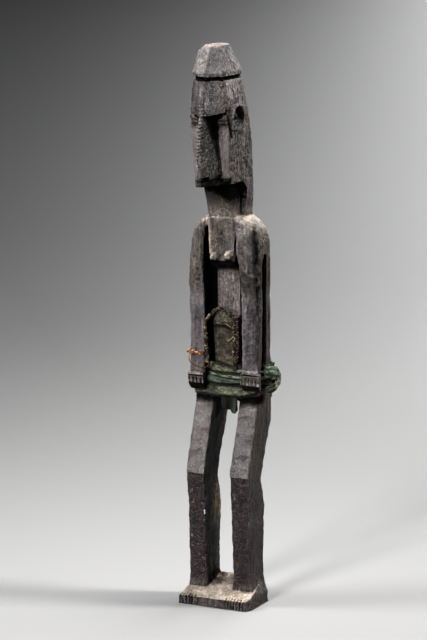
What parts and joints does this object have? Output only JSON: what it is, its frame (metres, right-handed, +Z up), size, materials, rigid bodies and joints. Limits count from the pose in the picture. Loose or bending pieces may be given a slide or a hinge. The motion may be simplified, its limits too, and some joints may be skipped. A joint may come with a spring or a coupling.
{
  "type": "carved ancestor figure",
  "caption": "Standing ancestor figure carved from one block of dark wood, with a wrapped and knotted loin cloth, a frayed belly cloth and a string at the right wrist",
  "frame": {"origin": "middle of the underside of the base", "axes": "+Z up, the figure faces -Y and its own left side is +X"},
  "size_m": [0.0982, 0.1098, 0.6025],
  "materials": {
    "aged_wood": "dark weathered hardwood, upright grain, tool nicks, worn lighter edges",
    "olive_cloth": "faded olive plain-weave cotton, soiled and creased",
    "green_cloth": "dark blue-green cotton, twisted and knotted",
    "belly_cloth": "olive-grey cotton stiff with old soot and grease",
    "frayed_border": "rolled and frayed cloth edge, crusted, yellowish brown",
    "wrist_string": "two-ply twisted plant-fibre string, orange-brown"
  },
  "bodies": {
    "root": {"carved_figure": "aged_wood", "hip_cloth": "olive_cloth", "sash": "green_cloth", "sash_knot": "green_cloth", "sash_tail": "green_cloth", "apron_cloth": "belly_cloth", "apron_border": "frayed_border", "wrist_ring": "wrist_string", "wrist_knot": "wrist_string", "wrist_loop": "wrist_string"}
  },
  "joints": []
}
